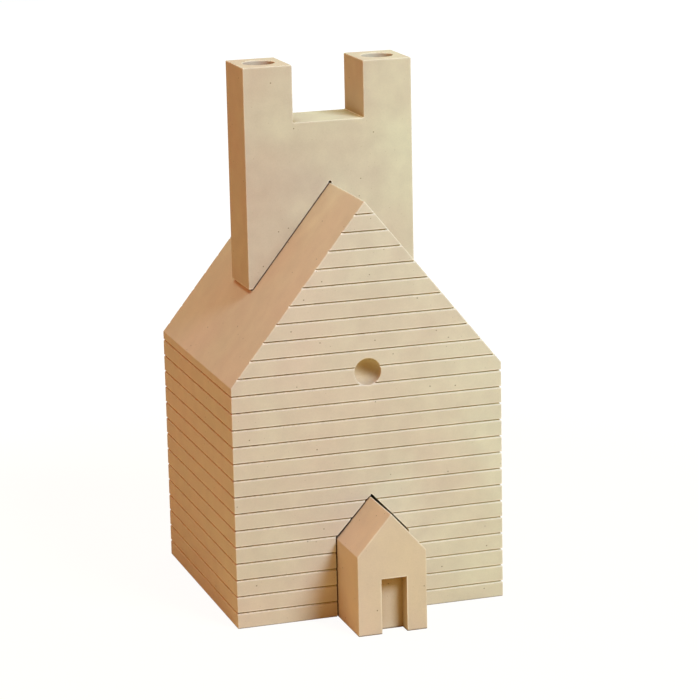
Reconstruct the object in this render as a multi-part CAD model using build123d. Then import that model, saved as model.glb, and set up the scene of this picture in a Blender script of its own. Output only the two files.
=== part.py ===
from build123d import *
import os
from math import atan2, cos, degrees, tan

# All sizes are in millimetres. The house faces -Y and stands on the plane z = 0,
# with the origin under the middle of its four walls.

# House walls and roof
house_width = 165.0
house_depth = 154.0
wall_height = 144.5  # underside of the walls to the eaves
gable_rise = 102.5  # eaves to ridge
wall_thickness = 16.0
roof_thickness = 16.0
base_reveal = 0.4  # how far the walls stand clear of the table
edge_radius = 0.6  # worn outer edges of every cast piece

# Board courses scored into the walls
course_height = 10.0
score_width = 1.5  # height of its mouth
score_depth = 1.6
least_course = 4.0  # no line is scored closer than this to the eaves or the ridge

# Blind round window in the gable, hollowed like a bowl
window_diameter = 16.0
window_depth = 9.0
window_height = 146.5  # underside of the walls to its centre

# Chimney block, a slab that sits astride the ridge
block_width = 103.5
block_thickness = 36.5
block_setback = 6.0  # its middle lies this far behind the middle of the house
chimney_rise = 71.0  # ridge to chimney tops
chimney_width = 30.0
notch_depth = 34.0  # drop between the two chimneys
foot_flat = 2.5  # width of the blunt ends of its two legs
flue_diameter = 19.0
saddle_gap = 0.45  # square to the roof
ridge_relief_radius = 1.0  # groove that keeps the saddle off the ridge
flue_play = 1.0  # how much wider the roof holes are, on the radius

# Porch, a small gabled block that plugs the doorway
porch_width = 42.0
porch_wall_height = 48.1
porch_rise = 23.8
porch_projection = 38.0
porch_stop_gap = 0.2
door_width = 15.5
door_height = 33.4
door_depth = 8.5
door_offset = 1.1  # the recess lies this far right of the porch's middle

# Doorway round the porch, hand cut and so not quite in the middle
doorway_offset = 0.9  # to the right
doorway_side_gap = 1.6  # mean of both sides
doorway_eave_gap = 1.0  # its eaves above the porch's
doorway_ridge_gap = 1.6  # its ridge above the porch's

# Floor plate bonded into a rebate under the walls, with felt below it
plate_thickness = 8.0
plate_ledge = 5.0  # width of the rebate in the walls
bond_gap = 0.4
felt_thickness = 2.0
felt_inset = 4.0

# Tealight standing on the floor plate
cup_diameter = 38.0
cup_height = 16.0
cup_wall = 0.4
cup_corner_radius = 1.1  # inside the cup
rim_overhang = 0.7
rim_height = 1.2
wax_height = 13.0
wax_gap = 0.15
wax_edge_radius = 0.8
tab_diameter = 13.0
tab_thickness = 0.4
neck_diameter = 3.2
neck_height = 4.0
wick_diameter = 1.8
wick_gap = 0.1
wick_rise = 7.0  # free length above the wax

# Levels and planes that several pieces share
wall_foot = base_reveal
eave_level = wall_foot + wall_height
ridge_level = eave_level + gable_rise
roof_pitch = atan2(gable_rise, house_width / 2)
front_plane = -house_depth / 2
plate_underside = felt_thickness
plate_top = plate_underside + plate_thickness
plug_back = front_plane + wall_thickness - plate_ledge - porch_stop_gap
flue_offset = (block_width - chimney_width) / 2


def roof_level(x, lift=0.0):
    """Height of the roof plane at x, moved out square to itself by lift."""
    return ridge_level - abs(x) * tan(roof_pitch) + lift / cos(roof_pitch)


def gabled_block(width, foot, eaves, ridge, front, back):
    """Solid with a gabled outline, running from one Y plane to another."""
    half = width / 2
    outline = Polyline((-half, foot), (half, foot), (half, eaves), (0, ridge), (-half, eaves), close=True)
    section = Plane.XZ.offset(-front) * make_face(outline)
    return extrude(section, amount=back - front, dir=(0, 1, 0))


def upright_cylinder(diameter, low, high, x=0.0, y=0.0):
    """Cylinder standing on z = low and ending at z = high."""
    return Pos(x, y, low) * Cylinder(diameter / 2, high - low, align=(Align.CENTER, Align.CENTER, Align.MIN))


def box_between(low, high):
    """Box given by its lowest and highest corners."""
    size = [b - a for a, b in zip(low, high)]
    return Pos(*low) * Box(*size, align=(Align.MIN, Align.MIN, Align.MIN))


def score(plane, face, inward, level, length):
    """Cutter for one course line: flat under the upper board, sloping out over the lower one."""
    mouth = Polyline(
        (face - inward * score_depth, level),
        (face + inward * score_depth, level),
        (face - inward * score_depth, level - 2 * score_width),
        close=True,
    )
    return extrude(plane * make_face(mouth), amount=length / 2, both=True)


def course_levels(top):
    """Heights of the course lines from the foot of the walls up to a level."""
    count = int((top - least_course - wall_foot) // course_height)
    return [wall_foot + course_height * (i + 1) for i in range(count)]


def course_scores():
    """Cutters for every course line on the four walls and the two gables."""
    half_width = house_width / 2
    half_depth = house_depth / 2
    cutters = []
    for level in course_levels(ridge_level):
        for side in (-1, 1):
            cutters.append(score(Plane.YZ, side * half_depth, -side, level, 2 * house_width))
    for level in course_levels(eave_level):
        for side in (-1, 1):
            cutters.append(score(Plane.XZ, side * half_width, -side, level, 2 * house_depth))
    return cutters


def house_shell():
    """Cast walls and roof in one hollow piece, open below and at the doorway."""
    half_depth = house_depth / 2
    shell = gabled_block(house_width, wall_foot, eave_level, ridge_level, -half_depth, half_depth)
    shell = fillet(shell.edges(), edge_radius)

    inner_width = house_width - 2 * wall_thickness
    inner_half_depth = half_depth - wall_thickness
    shell -= gabled_block(
        inner_width,
        0,
        roof_level(inner_width / 2, -roof_thickness),
        roof_level(0, -roof_thickness),
        -inner_half_depth,
        inner_half_depth,
    )
    rebate_x = inner_width / 2 + plate_ledge
    rebate_y = inner_half_depth + plate_ledge
    shell -= box_between((-rebate_x, -rebate_y, 0), (rebate_x, rebate_y, plate_top))
    shell -= Pos(X=doorway_offset) * gabled_block(
        porch_width + 2 * doorway_side_gap,
        0,
        porch_wall_height + doorway_eave_gap,
        porch_wall_height + porch_rise + doorway_ridge_gap,
        -house_depth,
        -inner_half_depth + wall_thickness / 2,
    )
    hole_foot = wall_foot + wall_height / 2
    hole_diameter = flue_diameter + 2 * flue_play
    shell -= [
        upright_cylinder(hole_diameter, hole_foot, ridge_level, x, block_setback)
        for x in (-flue_offset, flue_offset)
    ]
    window_centre = Pos(0, -half_depth, wall_foot + window_height)
    window_radius = window_diameter / 2
    bowl_setback = window_depth - window_radius
    shell -= window_centre * Rot(X=90) * Cylinder(window_radius, 2 * bowl_setback)
    shell -= window_centre * Pos(Y=bowl_setback) * Sphere(window_radius)
    window_rim = shell.edges().filter_by(GeomType.CIRCLE).group_by(Axis.Y)[0]
    shell = fillet(window_rim.filter_by(lambda edge: edge.radius == window_radius), edge_radius)
    return shell - course_scores()


def floor_plate():
    """Cast plate that closes the house below and carries the tealight."""
    x = house_width / 2 - wall_thickness + plate_ledge - bond_gap
    back = house_depth / 2 - wall_thickness + plate_ledge - bond_gap
    front = plug_back + porch_stop_gap
    return box_between((-x, front, plate_underside), (x, back, plate_top))


def base_felt():
    """Felt sheet bonded under the floor plate, on which the house stands."""
    x = house_width / 2 - wall_thickness + plate_ledge - felt_inset
    y = house_depth / 2 - wall_thickness + plate_ledge - felt_inset
    return box_between((-x, -y, 0), (x, y, felt_thickness))


def chimney_block():
    """Slab with two chimneys, notched below to straddle the roof."""
    half = block_width / 2
    inner = half - chimney_width
    top = ridge_level + chimney_rise
    notch = top - notch_depth
    foot_edge = half - foot_flat
    foot = roof_level(foot_edge, saddle_gap)
    outline = Polyline(
        (-half, foot), (-foot_edge, foot), (0, roof_level(0, saddle_gap)), (foot_edge, foot), (half, foot),
        (half, top), (inner, top), (inner, notch), (-inner, notch), (-inner, top), (-half, top), close=True,
    )
    front = block_setback - block_thickness / 2
    section = Plane.XZ.offset(-front) * make_face(outline)
    block = extrude(section, amount=block_thickness, dir=(0, 1, 0))
    saddle_top = roof_level(0, saddle_gap)
    worn_edges = [edge for edge in block.edges() if edge.bounding_box().max.Z > saddle_top + saddle_gap]
    block = fillet(worn_edges, edge_radius)
    relief = Pos(0, block_setback, ridge_level) * Rot(X=90) * Cylinder(ridge_relief_radius, 2 * block_thickness)
    flues = [upright_cylinder(flue_diameter, 0, 2 * top, x, block_setback) for x in (-flue_offset, flue_offset)]
    block = block - [relief] - flues
    mouths = block.edges().filter_by(GeomType.CIRCLE).filter_by(lambda edge: edge.radius == flue_diameter / 2)
    return fillet(mouths, edge_radius)


def porch():
    """Small gabled block with a blind door recess, pushed into the doorway."""
    ridge = porch_wall_height + porch_rise
    front = front_plane - porch_projection
    block = gabled_block(porch_width, 0, porch_wall_height, ridge, front, plug_back)
    block = fillet(block.edges(), edge_radius)
    left = door_offset - door_width / 2
    right = door_offset + door_width / 2
    return block - box_between((left, front - door_depth, -1), (right, front + door_depth, door_height))


def tealight_cup():
    """Thin pressed cup with a rolled rim."""
    top = plate_top + cup_height
    body = upright_cylinder(cup_diameter, plate_top, top)
    body = fillet(body.edges().group_by(Axis.Z)[0], cup_corner_radius + cup_wall)
    rim = upright_cylinder(cup_diameter + 2 * rim_overhang, top - rim_height, top)
    rim = fillet(rim.edges(), rim_height / 3)
    hollow = upright_cylinder(cup_diameter - 2 * cup_wall, plate_top + cup_wall, top + rim_height)
    hollow = fillet(hollow.edges().group_by(Axis.Z)[0], cup_corner_radius)
    return body + rim - hollow


def tealight_wax():
    """Wax filling of the cup, cast round the wick and its tab."""
    low = plate_top + cup_wall
    high = low + wax_height
    wax = upright_cylinder(cup_diameter - 2 * (cup_wall + wax_gap), low, high)
    wax = fillet(wax.edges().group_by(Axis.Z)[-1], wax_edge_radius)
    wax = fillet(wax.edges().group_by(Axis.Z)[0], cup_corner_radius)
    wax -= upright_cylinder(tab_diameter + 2 * wick_gap, low - 1, low + tab_thickness + wick_gap)
    wax -= upright_cylinder(neck_diameter + 2 * wick_gap, low - 1, low + tab_thickness + neck_height + wick_gap)
    return wax - upright_cylinder(wick_diameter + 2 * wick_gap, low - 1, high + 1)


def wick_tab():
    """Pressed metal tab whose neck grips the foot of the wick."""
    low = plate_top + cup_wall
    tab = upright_cylinder(tab_diameter, low, low + tab_thickness)
    tab += upright_cylinder(neck_diameter, low, low + tab_thickness + neck_height)
    return tab - upright_cylinder(wick_diameter + 2 * wick_gap, low + tab_thickness, low + 2 * neck_height)


def tealight_wick():
    """Cotton wick standing in the neck of its tab."""
    low = plate_top + cup_wall
    return upright_cylinder(wick_diameter, low + tab_thickness, low + wax_height + wick_rise)


pieces = {
    "house_shell": house_shell(),
    "floor_plate": floor_plate(),
    "base_felt": base_felt(),
    "chimney_block": chimney_block(),
    "porch": porch(),
    "tealight_cup": tealight_cup(),
    "tealight_wax": tealight_wax(),
    "wick_tab": wick_tab(),
    "tealight_wick": tealight_wick(),
}

os.makedirs("parts", exist_ok=True)
for name, shape in pieces.items():
    export_step(shape, f"parts/{name}.step")
    print(f"{name}: {len(shape.solids())} solid, {shape.volume / 1000:.2f} cm3")
print(f"roof pitch {degrees(roof_pitch):.1f} degrees, overall height {ridge_level + chimney_rise:.1f} mm")
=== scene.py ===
import bpy
import math
import numpy as np
from mathutils import Matrix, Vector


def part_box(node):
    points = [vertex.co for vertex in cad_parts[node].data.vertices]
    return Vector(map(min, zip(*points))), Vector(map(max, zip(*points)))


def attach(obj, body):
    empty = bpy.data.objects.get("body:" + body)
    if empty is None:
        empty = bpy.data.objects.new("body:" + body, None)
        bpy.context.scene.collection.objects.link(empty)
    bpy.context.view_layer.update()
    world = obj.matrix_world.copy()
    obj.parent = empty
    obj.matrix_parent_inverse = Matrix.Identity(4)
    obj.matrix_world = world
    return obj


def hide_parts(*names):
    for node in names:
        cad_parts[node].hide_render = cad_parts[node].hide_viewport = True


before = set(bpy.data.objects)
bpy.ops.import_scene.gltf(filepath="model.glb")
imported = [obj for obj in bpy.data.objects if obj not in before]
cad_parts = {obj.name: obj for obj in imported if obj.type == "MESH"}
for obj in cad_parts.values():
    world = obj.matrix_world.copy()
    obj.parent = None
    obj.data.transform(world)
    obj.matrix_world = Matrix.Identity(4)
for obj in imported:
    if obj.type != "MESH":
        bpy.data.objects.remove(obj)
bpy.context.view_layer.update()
print("frame loaded:", ", ".join(sorted(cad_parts)))

mm = 0.001
times = {"operation": "MULTIPLY"}  # settings of a Math node
larger = {"operation": "MAXIMUM"}


def linear(hexColour):
    # sRGB hex to the linear RGBA that a socket wants
    channels = [int(hexColour[i:i + 2], 16) / 255 for i in (1, 3, 5)]
    return [c / 12.92 if c <= 0.04045 else ((c + 0.055) / 1.055) ** 2.4 for c in channels] + [1.0]


def add(tree, kind, settings=None, **links):
    # one node: settings name attributes or sockets, links name sockets (in0, in1 by number) and what feeds them
    node = tree.nodes.new(kind)
    for key, value in (settings or {}).items():
        if isinstance(key, str) and hasattr(node, key):
            setattr(node, key, value)
        else:
            node.inputs[key].default_value = value
    for key, source in links.items():
        socket = int(key[2:]) if key.startswith("in") and key[2:].isdigit() else key.replace("_", " ")
        tree.links.new(source, node.inputs[socket])
    return node


def newMaterial(name):
    material = bpy.data.materials.new(name)
    material.use_nodes = True
    material.node_tree.nodes.clear()
    return material, material.node_tree


def setRamp(node, stops):
    # stops are (position, hex) pairs from low to high
    stops = list(stops)
    ramp = node.color_ramp
    while len(ramp.elements) < len(stops):
        ramp.elements.new(0.5)
    for element, (position, colour) in zip(ramp.elements, stops):
        element.position = position
        element.color = linear(colour)


def dress(nodeName, material):
    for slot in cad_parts[nodeName].material_slots:
        slot.material = material


def newPiece(name, points, faces, material, body, slotName, *nodes):
    # mesh in place at the origin, riding on a body and standing for its CAD nodes
    mesh = bpy.data.meshes.new(name)
    mesh.from_pydata(points.reshape(-1, 3).tolist(), [], faces)
    mesh.shade_smooth()
    mesh.materials.append(material)
    piece = bpy.data.objects.new(name, mesh)
    bpy.context.collection.objects.link(piece)
    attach(piece, body)
    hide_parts(*nodes)
    return piece


def ringFaces(rows, columns, loop=False):
    # quads between neighbouring rings of a grid whose columns run round; loop joins the last ring to the first,
    # and otherwise a fan closes each end on one of two pole points that follow the grid
    index = np.arange(rows * columns).reshape(rows, columns)
    upper = np.roll(index, -1, axis=0) if loop else index[1:]
    lower = index if loop else index[:-1]
    quads = np.stack([lower, np.roll(lower, -1, 1), np.roll(upper, -1, 1), upper], axis=-1)
    quads = quads.reshape(-1, 4).tolist()
    if loop:
        return quads
    start, end = rows * columns, rows * columns + 1
    first, last = index[0], index[-1]
    startFan = np.stack([np.full(columns, start), np.roll(first, -1), first], axis=-1).tolist()
    endFan = np.stack([np.full(columns, end), last, np.roll(last, -1)], axis=-1).tolist()
    return quads + startFan + endFan


def arc(centre, radius, start, end, count):
    # points on a circle in the (radius, height) plane, from one angle to another in degrees
    angle = np.radians(np.linspace(start, end, count))
    return np.stack([centre[0] + radius * np.cos(angle), centre[1] + radius * np.sin(angle)], axis=-1)


def run(start, end, count):
    # evenly spaced points on a straight line in the (radius, height) plane, without its end point
    return np.linspace(start, end, count, endpoint=False)


# Cast stone: fine sand and binder poured in a mould, so quite matt, with slow clouds of tone, faint handling
# smudges, tiny dark specks and air pinholes, paler worn arrises, and dust in the scored lines; painted on top
# are light that moves the tone from pink to straw towards the right, highlights on arrises, slopes and the
# lines' lower lips, light deep in the lines at the front's right, and shade in the lines, at joints and in
# hollows
stone = {
    "house": ("#DAC2A6", "#D6C4A6", "#DACFAE"),  # pink, sand and straw tones, which differ a little by casting
    "chimney": ("#CEB394", "#CFBD9C", "#D9CFA8"),
    "porch": ("#DFC4A6", "#D8C09F", "#D6C09A"),
    "toneStops": (0.18, 0.5, 0.82),
    "drift": 2.6,        # painted light: how far the tone moves from pink to straw for each metre to the right
    # the pale worn colour marks wear and also paints highlights on arrises and on the scored lines' lit lower
    # lips
    "speck": "#A58B68", "pinhole": "#7A6042", "wearAndHighlight": "#F6E5C6",
    # the dust colour also paints shade into the scored lines
    # the grime colour paints shade into hollows
    # the joint colour paints contact shade where pieces meet
    # the pale line colour paints light into the scored lines at the front's right
    "dust": "#94835A", "paleDust": "#F0F8DE", "paintedJointShade": "#563208", "grime": "#DFC695",
    # size in mm and detail of each noise; grit is drawn coarser than its 0.2 mm so that it shows
    "noises": {"clouds": (48, 3.0), "smudge": (12, 5.0), "grit": (0.8, 2.0), "tear": (2.4, 3.0)},
    # spacing and radius in mm, share of the radius that is full, and strength
    "dots": {"speck": (4.5, 0.3, 0.4, 0.55), "pinhole": (8, 0.5, 0.5, 0.85)},
    "wearAndHighlightWidth": 1.1,    # mm from an arris, for wear and a painted highlight
    "dustReach": 1.6,    # mm across a scored line or joint, for dust and painted shade and light
    "hollowReach": 12,   # mm across a recess that gets painted shade
    "skyRays": 8,        # rays that feel how open a point lies
    "slopeRise": 0.67,   # height of a slope's normal
    "sunken": -3.0,      # a pinhole's depth beside the grit's height
    "relief": 0.12, "reliefStrength": 0.25,  # mm
    "roughness": 0.88, "ior": 1.5, "specular": 0.35,
    "ranges": {
        # from a noise
        "handled": {"From Min": 0.3, "From Max": 0.7, "To Min": 0.955, "To Max": 1.03},
        "sanded": {"From Min": 0.3, "From Max": 0.7, "To Min": 0.975, "To Max": 1.02},
        "patchy": {"From Min": 0.35, "From Max": 0.6, "To Min": 0.45},
        "torn": {"From Min": 0.38, "From Max": 0.6, "To Min": 0.4},
        "uneven": {"From Min": 0.64, "From Max": 0.38},
        # from the way a face turns, and from metres to the right
        "slope": {"From Min": 0.28, "From Max": 0.14},
        # painted light that makes slopes paler
        "rubbed": {"To Min": 1.0, "To Max": 1.07},
        "frontal": {"From Min": -0.2, "From Max": -0.6},
        "rightward": {"From Min": -0.08, "From Max": 0.08},
        # thins the dust and painted shade in the scored lines towards the front's right
        "dustAndShadeShare": {"To Min": 1.1, "To Max": 0.07},
        # from how open a point lies
        # wear and a painted highlight on arrises
        "edgeWearAndHighlight": {"From Min": 0.92, "From Max": 0.55, "To Max": 0.9},
        # a scored line's lower lip, for wear and a painted highlight
        "lip": {"From Min": 0.97, "From Max": 0.82},
        "offCorner": {"From Min": 0.54, "From Max": 0.66},
        # dust and painted shade in scored lines
        "dusty": {"From Min": 0.74, "From Max": 0.34, "To Max": 0.75},
        # painted light deep in the scored lines
        "deep": {"From Min": 0.85, "From Max": 0.65, "To Max": 0.9},
        # painted contact shade at joints
        "jointShading": {"From Min": 0.12, "From Max": 0.45, "To Max": 0.9},
        # painted shade in hollows
        "grimy": {"From Min": 0.8, "From Max": 0.4},
    },
}


def castStone(casting):
    material, tree = newMaterial("castStoneSandMatt_" + casting)
    ranges = stone["ranges"]
    coordinates = add(tree, "ShaderNodeTexCoord")
    place = coordinates.outputs["Object"]
    noise = {}
    for name, (size, detail) in stone["noises"].items():
        grain = add(tree, "ShaderNodeTexNoise", {"Scale": 1 / (size * mm), "Detail": detail}, Vector=place)
        noise[name] = grain.outputs["Fac"]

    across = add(tree, "ShaderNodeSeparateXYZ", None, Vector=place)
    # painted light: the tone moves from pink at the left to straw at the right, as the light changes across the
    # house
    drift = add(tree, "ShaderNodeMath", {"operation": "MULTIPLY_ADD", 1: stone["drift"]},
                in0=across.outputs["X"], in2=noise["clouds"])
    tone = add(tree, "ShaderNodeValToRGB", None, Fac=drift.outputs[0])
    setRamp(tone, zip(stone["toneStops"], stone[casting]))
    handled = add(tree, "ShaderNodeMapRange", ranges["handled"], Value=noise["smudge"])
    sanded = add(tree, "ShaderNodeMapRange", ranges["sanded"], Value=noise["grit"])
    level = add(tree, "ShaderNodeMath", times, in0=handled.outputs[0], in1=sanded.outputs[0])
    # painted light: slopes, whose normals stand about halfway up, are painted paler than walls and tops
    facing = add(tree, "ShaderNodeSeparateXYZ", None, Vector=coordinates.outputs["Normal"])
    offSlope = add(tree, "ShaderNodeMath", {"operation": "SUBTRACT", 1: stone["slopeRise"]},
                   in0=facing.outputs["Z"])
    awayFrom = add(tree, "ShaderNodeMath", {"operation": "ABSOLUTE"}, in0=offSlope.outputs[0])
    slope = add(tree, "ShaderNodeMapRange", ranges["slope"], Value=awayFrom.outputs[0])
    rubbed = add(tree, "ShaderNodeMapRange", ranges["rubbed"], Value=slope.outputs[0])
    level = add(tree, "ShaderNodeMath", times, in0=level.outputs[0], in1=rubbed.outputs[0])
    body = add(tree, "ShaderNodeVectorMath", {"operation": "SCALE"},
               in0=tone.outputs["Color"], Scale=level.outputs[0])

    # specks and pinholes are points scattered through the stone, seen where they lie in its face
    dots = {}
    for name, (spacing, radius, fullShare, strength) in stone["dots"].items():
        cells = add(tree, "ShaderNodeTexVoronoi", {"Scale": 1 / (spacing * mm)}, Vector=place)
        size = radius / spacing
        fade = {"From Min": size, "From Max": size * fullShare, "To Max": strength}
        dots[name] = add(tree, "ShaderNodeMapRange", fade, Value=cells.outputs["Distance"])

    # pale wear and a painted highlight where the stone is thin behind an arris, and a painted highlight with
    # wear on a scored line's lower lip, which faces up to the light, broken up by the noises
    arris = add(tree, "ShaderNodeAmbientOcclusion",
                {"inside": True, "only_local": True, "samples": stone["skyRays"],
                 "Distance": stone["wearAndHighlightWidth"] * mm})
    edgeWearAndHighlight = add(tree, "ShaderNodeMapRange", ranges["edgeWearAndHighlight"], Value=arris.outputs["AO"])
    patchy = add(tree, "ShaderNodeMapRange", ranges["patchy"], Value=noise["smudge"])
    arrisWearAndHighlight = add(tree, "ShaderNodeMath", times, in0=edgeWearAndHighlight.outputs[0], in1=patchy.outputs[0])
    corner = add(tree, "ShaderNodeAmbientOcclusion",
                 {"only_local": True, "samples": stone["skyRays"], "Distance": stone["dustReach"] * mm})
    lip = add(tree, "ShaderNodeMapRange", ranges["lip"], Value=corner.outputs["AO"])
    offCorner = add(tree, "ShaderNodeMapRange", ranges["offCorner"], Value=corner.outputs["AO"])
    openLip = add(tree, "ShaderNodeMath", times, in0=lip.outputs[0], in1=offCorner.outputs[0])
    lipSlope = add(tree, "ShaderNodeMath", times, in0=openLip.outputs[0], in1=slope.outputs[0])
    torn = add(tree, "ShaderNodeMapRange", ranges["torn"], Value=noise["tear"])
    lipHighlightAndWear = add(tree, "ShaderNodeMath", times, in0=lipSlope.outputs[0], in1=torn.outputs[0])
    wearAndHighlightMask = add(tree, "ShaderNodeMath", larger, in0=arrisWearAndHighlight.outputs[0], in1=lipHighlightAndWear.outputs[0])

    # dust and painted shade where a scored line shuts light out; on the front they thin out towards the right,
    # where a pale coat paints light into the line instead
    dusty = add(tree, "ShaderNodeMapRange", ranges["dusty"], Value=corner.outputs["AO"])
    uneven = add(tree, "ShaderNodeMapRange", ranges["uneven"], Value=noise["tear"])
    frontal = add(tree, "ShaderNodeMapRange", ranges["frontal"], Value=facing.outputs["Y"])
    rightward = add(tree, "ShaderNodeMapRange", ranges["rightward"], Value=across.outputs["X"])
    faded = add(tree, "ShaderNodeMath", times, in0=frontal.outputs[0], in1=rightward.outputs[0])
    dustAndShadeShare = add(tree, "ShaderNodeMapRange", ranges["dustAndShadeShare"], Value=faded.outputs[0])
    broken = add(tree, "ShaderNodeMath", times, in0=uneven.outputs[0], in1=dustAndShadeShare.outputs[0])
    dustMask = add(tree, "ShaderNodeMath", times, in0=dusty.outputs[0], in1=broken.outputs[0])
    # painted light: a pale coat deep on a scored line's lower slope, on the front towards the right
    deep = add(tree, "ShaderNodeMapRange", ranges["deep"], Value=corner.outputs["AO"])
    deepSlope = add(tree, "ShaderNodeMath", times, in0=deep.outputs[0], in1=slope.outputs[0])
    paintedLineLightMask = add(tree, "ShaderNodeMath", times, in0=deepSlope.outputs[0], in1=faded.outputs[0])

    # painted contact shade: a dark coat where two pieces, or a piece and the floor, shut more light out
    # together than this one does alone
    together = add(tree, "ShaderNodeAmbientOcclusion",
                   {"samples": stone["skyRays"], "Distance": stone["dustReach"] * mm})
    shut = add(tree, "ShaderNodeMath", {"operation": "SUBTRACT"},
               in0=corner.outputs["AO"], in1=together.outputs["AO"])
    paintedJointShadeMask = add(tree, "ShaderNodeMapRange", ranges["jointShading"], Value=shut.outputs[0])

    # each coat covers the ones before it where its mask says, and painted shade darkens the hollows over all of
    # them
    tint = body.outputs[0]
    coats = {"speck": dots["speck"], "pinhole": dots["pinhole"], "wearAndHighlight": wearAndHighlightMask,
             "dust": dustMask, "paleDust": paintedLineLightMask, "paintedJointShade": paintedJointShadeMask}
    for name, mask in coats.items():
        coat = add(tree, "ShaderNodeMix", {"data_type": "RGBA", 7: linear(stone[name])},
                   in0=mask.outputs[0], in6=tint)
        tint = coat.outputs[2]
    hollow = add(tree, "ShaderNodeAmbientOcclusion",
                 {"only_local": True, "samples": stone["skyRays"], "Distance": stone["hollowReach"] * mm})
    grimy = add(tree, "ShaderNodeMapRange", ranges["grimy"], Value=hollow.outputs["AO"])
    hollowShadedTint = add(tree, "ShaderNodeMix",
                 {"data_type": "RGBA", "blend_type": "MULTIPLY", 7: linear(stone["grime"])},
                 in0=grimy.outputs[0], in6=tint)

    sunk = add(tree, "ShaderNodeMath", {"operation": "MULTIPLY_ADD", 1: stone["sunken"]},
               in0=dots["pinhole"].outputs[0], in2=noise["grit"])
    relief = add(tree, "ShaderNodeBump",
                 {"Strength": stone["reliefStrength"], "Distance": stone["relief"] * mm},
                 Height=sunk.outputs[0])
    shader = add(tree, "ShaderNodeBsdfPrincipled",
                 {"Roughness": stone["roughness"], "IOR": stone["ior"],
                  "Specular IOR Level": stone["specular"]},
                 Base_Color=hollowShadedTint.outputs[2], Normal=relief.outputs["Normal"])
    add(tree, "ShaderNodeOutputMaterial", None, Surface=shader.outputs["BSDF"])
    return material


houseStone = castStone("house")
dress("house_shell", houseStone)
dress("floor_plate", houseStone)
dress("chimney_block", castStone("chimney"))
dress("porch", castStone("porch"))
print("cast stone dressed")

# Tealight: a pressed cup, poured wax, a plaited wick and its tab, all turned about one upright line
cupLow, cupHigh = (np.array(corner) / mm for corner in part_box("tealight_cup"))
cupAxis = (cupLow + cupHigh)[:2] / 2
turnSides = 144
turn = np.linspace(0, 2 * np.pi, turnSides, endpoint=False)


def turned(profile, lift=0.0):
    # each (radius, height) of the profile swept round the cup's axis; lift raises it by ring and angle
    radius = profile[:, :1]
    height = cupLow[2] + profile[:, 1:] + lift
    x = cupAxis[0] + radius * np.cos(turn)
    y = cupAxis[1] + radius * np.sin(turn)
    return np.stack(np.broadcast_arrays(x, y, height), axis=-1)


def polesFor(profile):
    # the two points on the axis that close a turned shape
    ends = [[cupAxis[0], cupAxis[1], cupLow[2] + profile[i, 1]] for i in (0, -1)]
    return np.array(ends)


# Drawn aluminium: thin sheet pressed into a cup, bright but softened, with fine draw lines up its side
cup = {
    "wall": 0.4, "corner": 1.1, "hub": 0.6,                         # mm; hub is the innermost ring's radius
    "bead": 0.55, "beadOffset": 0.15, "beadArc": (-105, 165),       # mm and degrees
    "standRing": 15.6, "standWidth": 0.5, "standStep": 0.2,         # mm; the base is raised inside this ring
    "sideGap": 0.5, "beadGap": 0.1, "floorGap": 0.8,                # mm from one bend to the next straight
    "metal": "#D6D7D9", "shade": "#C6C7CA", "shadeStops": (0.3, 0.7), "roughLow": 0.24, "roughHigh": 0.4,
    "drawLine": 0.5, "scuff": 4, "relief": 0.05,                    # mm
    "drawStretch": 0.04, "reliefStrength": 0.2,
}


def drawnAluminium():
    material, tree = newMaterial("aluminiumDrawnBright")
    place = add(tree, "ShaderNodeTexCoord").outputs["Object"]
    long = add(tree, "ShaderNodeMapping", {"Scale": (1.0, 1.0, cup["drawStretch"])}, Vector=place)
    lines = add(tree, "ShaderNodeTexNoise", {"Scale": 1 / (cup["drawLine"] * mm), "Detail": 3.0},
                Vector=long.outputs[0])
    scuff = add(tree, "ShaderNodeTexNoise", {"Scale": 1 / (cup["scuff"] * mm), "Detail": 4.0}, Vector=place)
    gloss = add(tree, "ShaderNodeMapRange", {"To Min": cup["roughLow"], "To Max": cup["roughHigh"]},
                Value=scuff.outputs["Fac"])
    tint = add(tree, "ShaderNodeValToRGB", None, Fac=lines.outputs["Fac"])
    setRamp(tint, zip(cup["shadeStops"], (cup["shade"], cup["metal"])))
    relief = add(tree, "ShaderNodeBump", {"Strength": cup["reliefStrength"], "Distance": cup["relief"] * mm},
                 Height=lines.outputs["Fac"])
    shader = add(tree, "ShaderNodeBsdfPrincipled", {"Metallic": 1.0}, Base_Color=tint.outputs["Color"],
                 Roughness=gloss.outputs[0], Normal=relief.outputs["Normal"])
    add(tree, "ShaderNodeOutputMaterial", None, Surface=shader.outputs["BSDF"])
    return material


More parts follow.
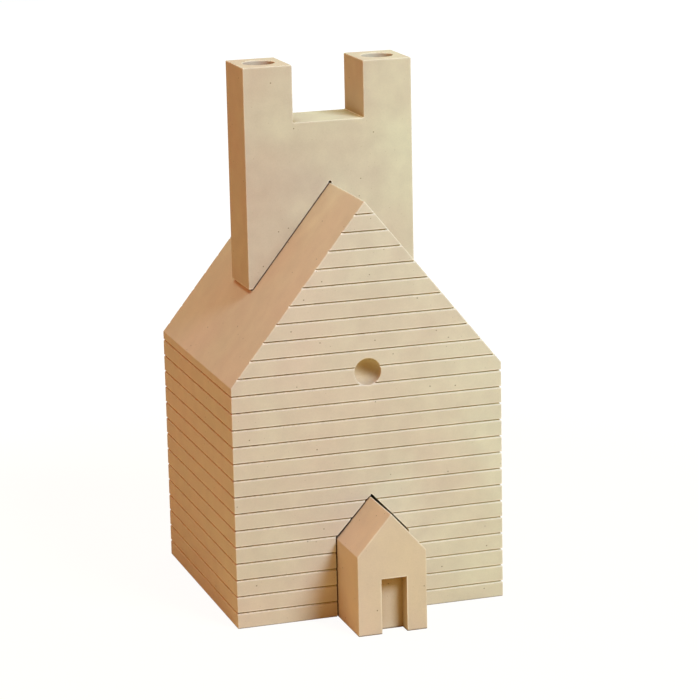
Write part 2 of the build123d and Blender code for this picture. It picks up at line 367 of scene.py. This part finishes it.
def pressedCup():
    # outline from the middle of the base, out over a raised foot ring, up the side, over a rolled bead and back
    # inside; each stretch ends with its number of rings
    height = (cupHigh - cupLow)[2]
    wall, corner, bead, hub = cup["wall"], cup["corner"], cup["bead"], cup["hub"]
    standIn, standOut, step = cup["standRing"], cup["standRing"] + cup["standWidth"], cup["standStep"]
    outer = (cupHigh - cupLow)[0] / 2 - bead - cup["beadOffset"]
    inner = outer - wall
    outerCorner = corner + wall
    beadMiddle = (outer + cup["beadOffset"], height - bead)
    profile = np.concatenate([
        run((hub, step), (standIn, step), 10),
        run((standIn, step), (standOut, 0), 4),
        run((standOut, 0), (outer - outerCorner, 0), 3),
        arc((outer - outerCorner, outerCorner), outerCorner, -90, 0, 8),
        run((outer, outerCorner + cup["sideGap"]), (outer, height - 2 * bead - cup["beadOffset"]), 10),
        arc(beadMiddle, bead, *cup["beadArc"], 16),
        run((inner, height - bead - cup["beadGap"]), (inner, outerCorner), 10),
        arc((inner - corner, outerCorner), corner, 0, -90, 8),
        run((inner - corner - cup["floorGap"], wall), (hub, wall), 8),
    ])
    rings = turned(profile)
    points = np.concatenate([rings.reshape(-1, 3), polesFor(profile)]) * mm
    newPiece("tealight_cup_drawn", points, ringFaces(*rings.shape[:2]), drawnAluminium(),
             "tealight", "cup_metal", "tealight_cup")


pressedCup()

# Paraffin wax: poured and set, so milky, satin and slightly sunken round the wick, with a lip where it wets the
# cup
wax = {
    "milk": "#F2EDDF", "frost": "#FBF8EF", "frostStops": (0.35, 0.7), "roughness": 0.42, "ior": 1.44,
    "scatter": 0.35, "scatterReach": (1.0, 0.85, 0.6), "depth": 2.2,             # scatter depth in mm
    "frostSize": 2.5, "relief": 0.08, "reliefStrength": 0.3,                     # mm
    "sink": 0.55, "sinkWidth": 5, "lip": 0.5, "lipPower": 40, "crownRings": 40,  # mm
    "ripple": 0.12, "rippleFolds": 2, "rippleTwist": 0.35, "rippleWave": 0.5,    # mm, and radians for each mm
    "wickHole": 1.0, "neckHole": 1.7, "neckTop": 4.5,                            # mm, cavities for the wick
    "tabHole": 6.6, "tabTop": 0.5,                                               # mm, cavity for its tab
    "sideGap": 0.5, "holeGap": 0.3,                                              # mm from a bend to a straight
}


def paraffin():
    material, tree = newMaterial("paraffinPouredSatin")
    place = add(tree, "ShaderNodeTexCoord").outputs["Object"]
    frost = add(tree, "ShaderNodeTexNoise", {"Scale": 1 / (wax["frostSize"] * mm), "Detail": 6.0}, Vector=place)
    tint = add(tree, "ShaderNodeValToRGB", None, Fac=frost.outputs["Fac"])
    setRamp(tint, zip(wax["frostStops"], (wax["milk"], wax["frost"])))
    relief = add(tree, "ShaderNodeBump", {"Strength": wax["reliefStrength"], "Distance": wax["relief"] * mm},
                 Height=frost.outputs["Fac"])
    shader = add(tree, "ShaderNodeBsdfPrincipled",
                 {"Roughness": wax["roughness"], "IOR": wax["ior"], "Subsurface Weight": wax["scatter"],
                  "Subsurface Radius": wax["scatterReach"], "Subsurface Scale": wax["depth"] * mm},
                 Base_Color=tint.outputs["Color"], Normal=relief.outputs["Normal"])
    add(tree, "ShaderNodeOutputMaterial", None, Surface=shader.outputs["BSDF"])
    return material


def pouredWax():
    # closed outline round the cavities; the top sinks towards the wick as a bell curve, climbs at the cup as a
    # steep power of radius, and carries slow ripples that fade at the cup and at the wick
    low, high = (np.array(corner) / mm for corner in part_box("tealight_wax"))
    foot, outer = low[2] - cupLow[2], (high - low)[0] / 2
    top = high[2] - cupLow[2] - wax["lip"]
    corner, wickHole, neckHole, tabHole = cup["corner"], wax["wickHole"], wax["neckHole"], wax["tabHole"]
    neckTop, tabTop = foot + wax["neckTop"], foot + wax["tabTop"]
    across = np.linspace(outer, wickHole, wax["crownRings"])
    crown = top - wax["sink"] * np.exp(-(across / wax["sinkWidth"]) ** 2)
    crown = crown + wax["lip"] * (across / outer) ** wax["lipPower"]
    side = np.concatenate([
        run((tabHole, foot), (outer - corner, foot), 8),
        arc((outer - corner, foot + corner), corner, -90, 0, 6),
        run((outer, foot + corner + wax["sideGap"]), (outer, top + wax["lip"]), 8),
    ])
    cavity = np.concatenate([
        run((wickHole, crown[-1] - wax["holeGap"]), (wickHole, neckTop), 8),
        run((wickHole, neckTop), (neckHole, neckTop), 2),
        run((neckHole, neckTop), (neckHole, tabTop), 4),
        run((neckHole, tabTop), (tabHole, tabTop), 4),
    ])
    profile = np.concatenate([side, np.stack([across, crown], axis=-1), cavity])
    radius = profile[:, :1]
    onCrown = np.zeros((len(profile), 1))
    onCrown[len(side):len(side) + len(across), 0] = np.sin(np.pi * np.linspace(0, 1, len(across)))
    ripple = np.cos(wax["rippleFolds"] * turn + wax["rippleTwist"] * radius)
    ripple = ripple * np.cos(wax["rippleWave"] * radius)
    rings = turned(profile, lift=wax["ripple"] * onCrown * (ripple - 1))
    newPiece("tealight_wax_poured", rings * mm, ringFaces(*rings.shape[:2], loop=True), paraffin(),
             "tealight", "wax", "tealight_wax")


pouredWax()

# Plaited cotton: three waxed strands laid round each other, soft and dull, with a slight lean at the free end
wick = {
    "yarn": "#EDE6D4", "hollow": "#B9AD93", "yarnStops": (0.3, 0.6), "roughness": 0.9, "sheen": 0.25,
    "fibre": 0.25, "relief": 0.06, "reliefStrength": 0.5,  # mm
    "strands": 3, "lobe": 0.22,                            # lobe is a share of the radius
    "pitch": 4.2, "lean": 0.7, "rings": 90, "sides": 36,   # mm
}


def plaitedCotton():
    material, tree = newMaterial("cottonPlaitedWaxed")
    place = add(tree, "ShaderNodeTexCoord").outputs["Object"]
    fibre = add(tree, "ShaderNodeTexNoise", {"Scale": 1 / (wick["fibre"] * mm), "Detail": 3.0}, Vector=place)
    tint = add(tree, "ShaderNodeValToRGB", None, Fac=fibre.outputs["Fac"])
    setRamp(tint, zip(wick["yarnStops"], (wick["hollow"], wick["yarn"])))
    relief = add(tree, "ShaderNodeBump", {"Strength": wick["reliefStrength"], "Distance": wick["relief"] * mm},
                 Height=fibre.outputs["Fac"])
    shader = add(tree, "ShaderNodeBsdfPrincipled",
                 {"Roughness": wick["roughness"], "Sheen Weight": wick["sheen"]},
                 Base_Color=tint.outputs["Color"], Normal=relief.outputs["Normal"])
    add(tree, "ShaderNodeOutputMaterial", None, Surface=shader.outputs["BSDF"])
    return material


def plaitedWick():
    # a tube whose radius swells and shrinks with the angle as a cosine, one swell for each strand, turned along
    # its height once in each pitch; its middle line leans aside with the square of the height above the wax
    low, high = (np.array(corner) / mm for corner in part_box("tealight_wick"))
    radius = (high - low)[0] / 2
    middle = (low + high)[:2] / 2
    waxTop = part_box("tealight_wax")[1][2] / mm
    height = np.linspace(low[2], high[2], wick["rings"])[:, None]
    angle = np.linspace(0, 2 * np.pi, wick["sides"], endpoint=False)
    twist = 2 * np.pi * height / wick["pitch"]
    swell = radius * (1 - wick["lobe"] / 2 + wick["lobe"] / 2 * np.cos(wick["strands"] * (angle - twist)))
    lean = wick["lean"] * (np.clip(height - waxTop, 0, None) / (high[2] - waxTop)) ** 2
    x = middle[0] + lean + swell * np.cos(angle)
    y = middle[1] + swell * np.sin(angle)
    rings = np.stack(np.broadcast_arrays(x, y, height), axis=-1)
    ends = np.array([[middle[0], middle[1], low[2]], [middle[0] + wick["lean"], middle[1], high[2]]])
    points = np.concatenate([rings.reshape(-1, 3), ends]) * mm
    newPiece("tealight_wick_plaited", points, ringFaces(*rings.shape[:2]), plaitedCotton(),
             "tealight", "wick_cotton", "tealight_wick")


plaitedWick()

# Tinplate: rolled steel strip with a thin bright tin coat, so greyish, with faint rolling lines
tab = {
    "tin": "#C4C4C0", "shade": "#A9A9A5", "shadeStops": (0.35, 0.65), "roughness": 0.38,
    "rollLine": 0.3, "rollStretch": 0.05,  # mm, and how much it is drawn out along the strip
}


def tinplate():
    material, tree = newMaterial("tinplateRolled")
    place = add(tree, "ShaderNodeTexCoord").outputs["Object"]
    long = add(tree, "ShaderNodeMapping", {"Scale": (tab["rollStretch"], 1.0, 1.0)}, Vector=place)
    lines = add(tree, "ShaderNodeTexNoise", {"Scale": 1 / (tab["rollLine"] * mm), "Detail": 3.0},
                Vector=long.outputs[0])
    tint = add(tree, "ShaderNodeValToRGB", None, Fac=lines.outputs["Fac"])
    setRamp(tint, zip(tab["shadeStops"], (tab["shade"], tab["tin"])))
    shader = add(tree, "ShaderNodeBsdfPrincipled", {"Metallic": 1.0, "Roughness": tab["roughness"]},
                 Base_Color=tint.outputs["Color"])
    add(tree, "ShaderNodeOutputMaterial", None, Surface=shader.outputs["BSDF"])
    return material


dress("wick_tab", tinplate())
print("tealight made: cup, wax, wick and tab")

# Wool felt: pressed fibres cut to a rectangle, dull and fuzzy, with a lighter bloom at grazing angles
felt = {
    "wool": "#453A30", "pale": "#63564A", "paleStops": (0.45, 0.75),
    "roughness": 0.98, "sheen": 0.4, "sheenRoughness": 0.6,
    "fibreLength": 6, "fibreWidth": 0.5, "relief": 0.2,  # mm
    "fibreCurl": 1.5, "reliefStrength": 0.6,
    "pill": 0.18, "pillWaves": (1.9, 3.1, 2.3, 2.7),     # mm, depth and lengths of the pressed face's waves
    "rings": 40, "edgeRings": 7, "sides": 240, "hub": 0.02, "edgePower": 12,
}


def woolFelt():
    material, tree = newMaterial("woolFeltPressed")
    place = add(tree, "ShaderNodeTexCoord").outputs["Object"]
    stretch = felt["fibreWidth"] / felt["fibreLength"]
    lengthwise = add(tree, "ShaderNodeMapping", {"Scale": (stretch, 1.0, 1.0)}, Vector=place)
    crosswise = add(tree, "ShaderNodeMapping", {"Scale": (1.0, stretch, 1.0)}, Vector=place)
    fibres = {"Scale": 1 / (felt["fibreWidth"] * mm), "Detail": 4.0, "Distortion": felt["fibreCurl"]}
    warp = add(tree, "ShaderNodeTexNoise", fibres, Vector=lengthwise.outputs[0])
    weft = add(tree, "ShaderNodeTexNoise", fibres, Vector=crosswise.outputs[0])
    fibre = add(tree, "ShaderNodeMath", larger, in0=warp.outputs["Fac"], in1=weft.outputs["Fac"])
    tint = add(tree, "ShaderNodeValToRGB", None, Fac=fibre.outputs[0])
    setRamp(tint, zip(felt["paleStops"], (felt["wool"], felt["pale"])))
    relief = add(tree, "ShaderNodeBump", {"Strength": felt["reliefStrength"], "Distance": felt["relief"] * mm},
                 Height=fibre.outputs[0])
    shader = add(tree, "ShaderNodeBsdfPrincipled",
                 {"Roughness": felt["roughness"], "Sheen Weight": felt["sheen"],
                  "Sheen Roughness": felt["sheenRoughness"]},
                 Base_Color=tint.outputs["Color"], Normal=relief.outputs["Normal"])
    add(tree, "ShaderNodeOutputMaterial", None, Surface=shader.outputs["BSDF"])
    return material


def feltSheet():
    # rings that grow from the middle to a rectangle on the lower face, go round the cut edge and shrink again
    # on the upper face; small crossed sine waves press the lower face in by less than a fifth of a millimetre
    low, high = (np.array(corner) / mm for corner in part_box("base_felt"))
    half = (high - low) / 2
    middle = (low + high) / 2
    count, edgeRound = felt["rings"], half[2]
    angle = np.linspace(0, 2 * np.pi, felt["sides"], endpoint=False)
    reach = 1 / np.maximum(np.abs(np.cos(angle)), np.abs(np.sin(angle)))
    outline = np.stack([reach * np.cos(angle), reach * np.sin(angle)], axis=-1)
    inward = np.linspace(felt["hub"], 1, count)
    edge = np.radians(np.linspace(-90, 90, felt["edgeRings"] + 2))[1:-1]
    flat = half[:2] - edgeRound
    faceRings = inward[:, None, None] * outline * flat
    edgeRings = outline * (flat + edgeRound * np.cos(edge)[:, None, None])
    plan = np.concatenate([faceRings, edgeRings, faceRings[::-1]])
    face = np.full(count, edgeRound)
    level = np.concatenate([-face, edgeRound * np.sin(edge), face])[:, None] * np.ones(felt["sides"])
    x, y = plan[..., 0], plan[..., 1]
    waveA, bendA, waveB, bendB = felt["pillWaves"]
    waves = np.sin(x / waveA + np.sin(y / bendA)) + np.sin(y / waveB + np.sin(x / bendB))
    pressed = felt["pill"] * (2 + waves) / 4
    level[:count] += pressed[:count] * (1 - inward[:, None] ** felt["edgePower"])
    rings = np.stack([middle[0] + x, middle[1] + y, middle[2] + level], axis=-1)
    ends = np.array([[middle[0], middle[1], middle[2] + level[0].mean()], [middle[0], middle[1], high[2]]])
    points = np.concatenate([rings.reshape(-1, 3), ends]) * mm
    sheet = newPiece("base_felt_sheet", points, ringFaces(*rings.shape[:2]), woolFelt(),
                     "house", "felt", "base_felt")


feltSheet()
print("felt sheet laid")


def seenDirectly(tree):
    # 1 for rays from the camera, off gloss and through glass, which get the plain white
    rays = add(tree, "ShaderNodeLightPath")
    mirrored = add(tree, "ShaderNodeMath", larger, in0=rays.outputs["Is Glossy Ray"],
                   in1=rays.outputs["Is Transmission Ray"])
    return add(tree, "ShaderNodeMath", larger, in0=rays.outputs["Is Camera Ray"], in1=mirrored.outputs[0])


# Floor: a pale straw sheet that shows as plain white away from the house and keeps its soft shadow near it
paper = {
    "size": 6.0,                       # metres
    "tone": "#E6D492", "fleck": "#EAD898", "fleckStops": (0.3, 0.7),
    "fleckSize": 2.5,                  # mm
    "white": 1.08, "nearWhite": 0.87,  # the white's strength, and its share close to the house
    "fadeFrom": 0.25, "fadeTo": 0.75,  # metres from the middle
}


def paperFloor():
    half = paper["size"] / 2
    mesh = bpy.data.meshes.new("paper_floor")
    corners = [(-half, -half, 0), (half, -half, 0), (half, half, 0), (-half, half, 0)]
    mesh.from_pydata(corners, [], [(0, 1, 2, 3)])
    floor = bpy.data.objects.new("paper_floor", mesh)
    bpy.context.collection.objects.link(floor)
    material, tree = newMaterial("paperMatt")
    place = add(tree, "ShaderNodeTexCoord").outputs["Object"]
    fibre = add(tree, "ShaderNodeTexNoise", {"Scale": 1 / (paper["fleckSize"] * mm), "Detail": 2.0},
                Vector=place)
    shade = add(tree, "ShaderNodeValToRGB", None, Fac=fibre.outputs["Fac"])
    setRamp(shade, zip(paper["fleckStops"], (paper["tone"], paper["fleck"])))
    sheet = add(tree, "ShaderNodeBsdfDiffuse", None, Color=shade.outputs["Color"])
    white = add(tree, "ShaderNodeEmission", {"Strength": paper["white"]})
    away = add(tree, "ShaderNodeVectorMath", {"operation": "LENGTH"}, in0=place)
    fade = add(tree, "ShaderNodeMapRange",
               {"interpolation_type": "SMOOTHSTEP", "From Min": paper["fadeFrom"], "From Max": paper["fadeTo"],
                "To Min": paper["nearWhite"]}, Value=away.outputs["Value"])
    share = add(tree, "ShaderNodeMath", times, in0=seenDirectly(tree).outputs[0], in1=fade.outputs[0])
    mix = add(tree, "ShaderNodeMixShader", None, in0=share.outputs[0],
              in1=sheet.outputs[0], in2=white.outputs[0])
    add(tree, "ShaderNodeOutputMaterial", None, Surface=mix.outputs[0])
    mesh.materials.append(material)


paperFloor()

# Studio: a cool soft key from the upper right, a large overhead panel, warm light from the left and all round,
# and a plain panel behind that keeps the far sides readable; places and sizes in metres, power in watts
studio = {
    "aim": (0, 0, 0.15),
    "panels": {
        "key": {"place": (0.661, -1.297, 1.371), "size": 0.68, "power": 43.2, "colour": "#C9E1FF"},
        "overhead": {"place": (-0.25, 0.1, 1.75), "size": 1.0, "power": 13.2, "colour": "#E2FFEE"},
        "warmCard": {"place": (-1.1, -0.1, 1.1), "size": 0.8, "power": 3.4, "colour": "#FF6400"},
        "behind": {"place": (0.9, 1.2, 0.35), "size": 0.8, "power": 8.0, "colour": "#FFF6E8"},
    },
    "glow": 0.18, "glowColour": "#FF8E26",
}


def lookFrom(place, direction, roll=0.0):
    # frame whose -Z axis runs along direction, turned about it by roll
    forward = np.array(direction, float) / np.linalg.norm(direction)
    right = np.cross(forward, (0, 0, 1))
    right /= np.linalg.norm(right)
    up = np.cross(right, forward)
    across = math.cos(roll) * right + math.sin(roll) * up
    upward = math.cos(roll) * up - math.sin(roll) * right
    rows = np.eye(4)
    rows[:3, 0], rows[:3, 1], rows[:3, 2], rows[:3, 3] = across, upward, -forward, place
    return Matrix(rows.tolist())


def softbox(name, panel):
    light = bpy.data.lights.new(name, "AREA")
    light.shape = "SQUARE"
    light.size = panel["size"]
    light.energy = panel["power"]
    light.color = linear(panel["colour"])[:3]
    lamp = bpy.data.objects.new(name, light)
    bpy.context.collection.objects.link(lamp)
    lamp.matrix_world = lookFrom(panel["place"], np.array(studio["aim"]) - np.array(panel["place"]))


for panelName, panel in studio["panels"].items():
    softbox(panelName, panel)


def surroundings():
    world = bpy.data.worlds.new("studio")
    bpy.context.scene.world = world
    world.use_nodes = True
    tree = world.node_tree
    tree.nodes.clear()
    glow = add(tree, "ShaderNodeBackground",
               {"Color": linear(studio["glowColour"]), "Strength": studio["glow"]})
    white = add(tree, "ShaderNodeBackground", {"Color": (1, 1, 1, 1), "Strength": 1.0})
    mix = add(tree, "ShaderNodeMixShader", None, in0=seenDirectly(tree).outputs[0],
              in1=glow.outputs[0], in2=white.outputs[0])
    add(tree, "ShaderNodeOutputWorld", None, Surface=mix.outputs[0])


surroundings()

# Camera: where the photograph was taken from, worked out from the house's own corners
shot = {
    "place": (-0.5031, -1.6148, 0.5574),  # metres
    "heading": 17.761,                    # degrees to the right of straight ahead
    "tilt": -13.793, "roll": -1.211,      # degrees
    "focalPixels": 2885.3, "imageWidth": 700,
}


def photographer():
    heading, tilt = math.radians(shot["heading"]), math.radians(shot["tilt"])
    direction = (math.sin(heading) * math.cos(tilt), math.cos(heading) * math.cos(tilt), math.sin(tilt))
    lens = bpy.data.cameras.new("photo_camera")
    lens.sensor_fit = "HORIZONTAL"
    lens.lens = shot["focalPixels"] / shot["imageWidth"] * lens.sensor_width
    camera = bpy.data.objects.new("photo_camera", lens)
    bpy.context.collection.objects.link(camera)
    camera.matrix_world = lookFrom(shot["place"], direction, math.radians(shot["roll"]))
    bpy.context.scene.camera = camera


photographer()
bpy.context.scene.view_settings.view_transform = "Standard"
print("studio and camera set")
